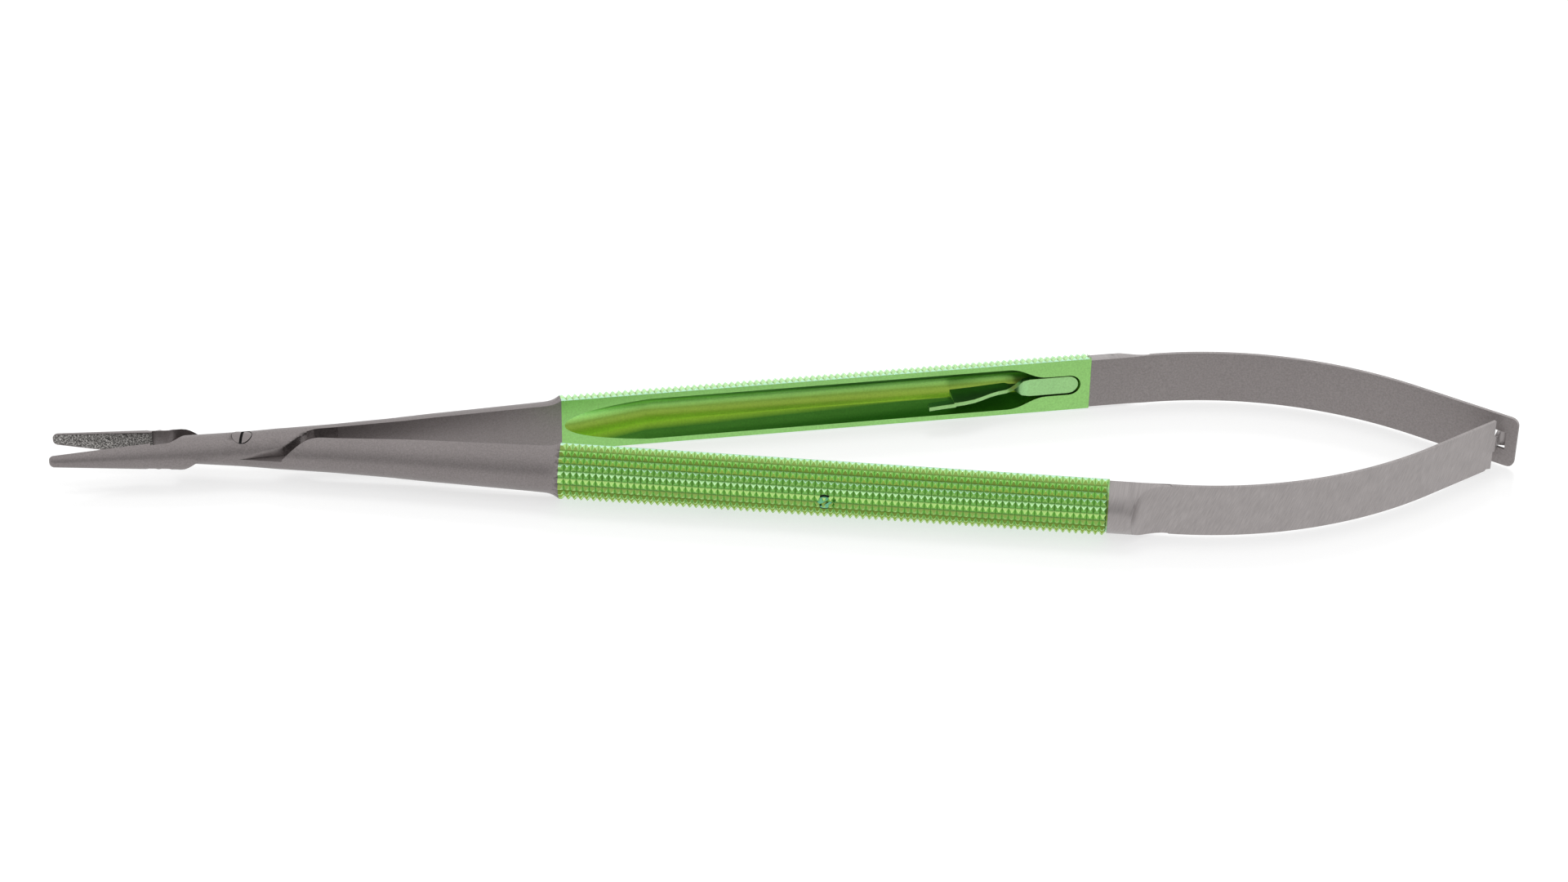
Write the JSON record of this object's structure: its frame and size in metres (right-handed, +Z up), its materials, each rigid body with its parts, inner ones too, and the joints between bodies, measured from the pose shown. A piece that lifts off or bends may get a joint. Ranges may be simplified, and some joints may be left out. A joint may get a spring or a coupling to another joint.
{
  "type": "surgical needle holder",
  "caption": "Spring-handled needle holder with straight jaws, a screw-pinned lap joint, toothed round grips with a catch, and two leaf springs hooked together at the tail.",
  "frame": {"origin": "centre of the bounding box in plan, on the surface that the instrument lies on", "axes": "+X along the instrument, from the jaw tips towards the springs; +Y from the near half towards the far half; +Z up, along the pivot axis"},
  "size_m": [0.184, 0.0334, 0.0077],
  "materials": {
    "half": "bead-blasted titanium, with the grips anodised green",
    "pivot": "ground flush and blasted",
    "pad": "coarse carbide grit",
    "catch": "green anodised titanium",
    "leaf": "brushed titanium"
  },
  "bodies": {
    "near": {"near_half": "half", "far_jaw_pad": "pad", "pivot_screw": "pivot", "keeper_strip": "catch", "catch_screw": "catch"},
    "far": {"far_half": "half", "near_jaw_pad": "pad", "hook_strip": "catch"},
    "far_spring": {"far_leaf": "leaf"},
    "near_spring": {"near_leaf": "leaf"}
  },
  "joints": [
    {"name": "jaw_pivot", "type": "hinge", "parent": "near", "child": "far", "pos_m": [-0.0682, 0, 0.00387], "axis": [0, 0, -1], "range_deg": [0, 10.8], "stiffness_Nm_per_rad": 1.5},
    {"name": "far_spring_root", "type": "hinge", "parent": "far", "child": "far_spring", "pos_m": [0.04667, 0.01388, 0.00387], "axis": [0, 0, 1], "range_deg": [0, 19.34]},
    {"name": "near_spring_root", "type": "hinge", "parent": "near", "child": "near_spring", "pos_m": [0.04667, -0.01388, 0.00387], "axis": [0, 0, -1], "range_deg": [0, 19.34]}
  ],
  "couplings": [
    {"joint": "far_spring_root", "follows": "jaw_pivot", "ratio": 1.7859},
    {"joint": "near_spring_root", "follows": "jaw_pivot", "ratio": 1.7859}
  ]
}
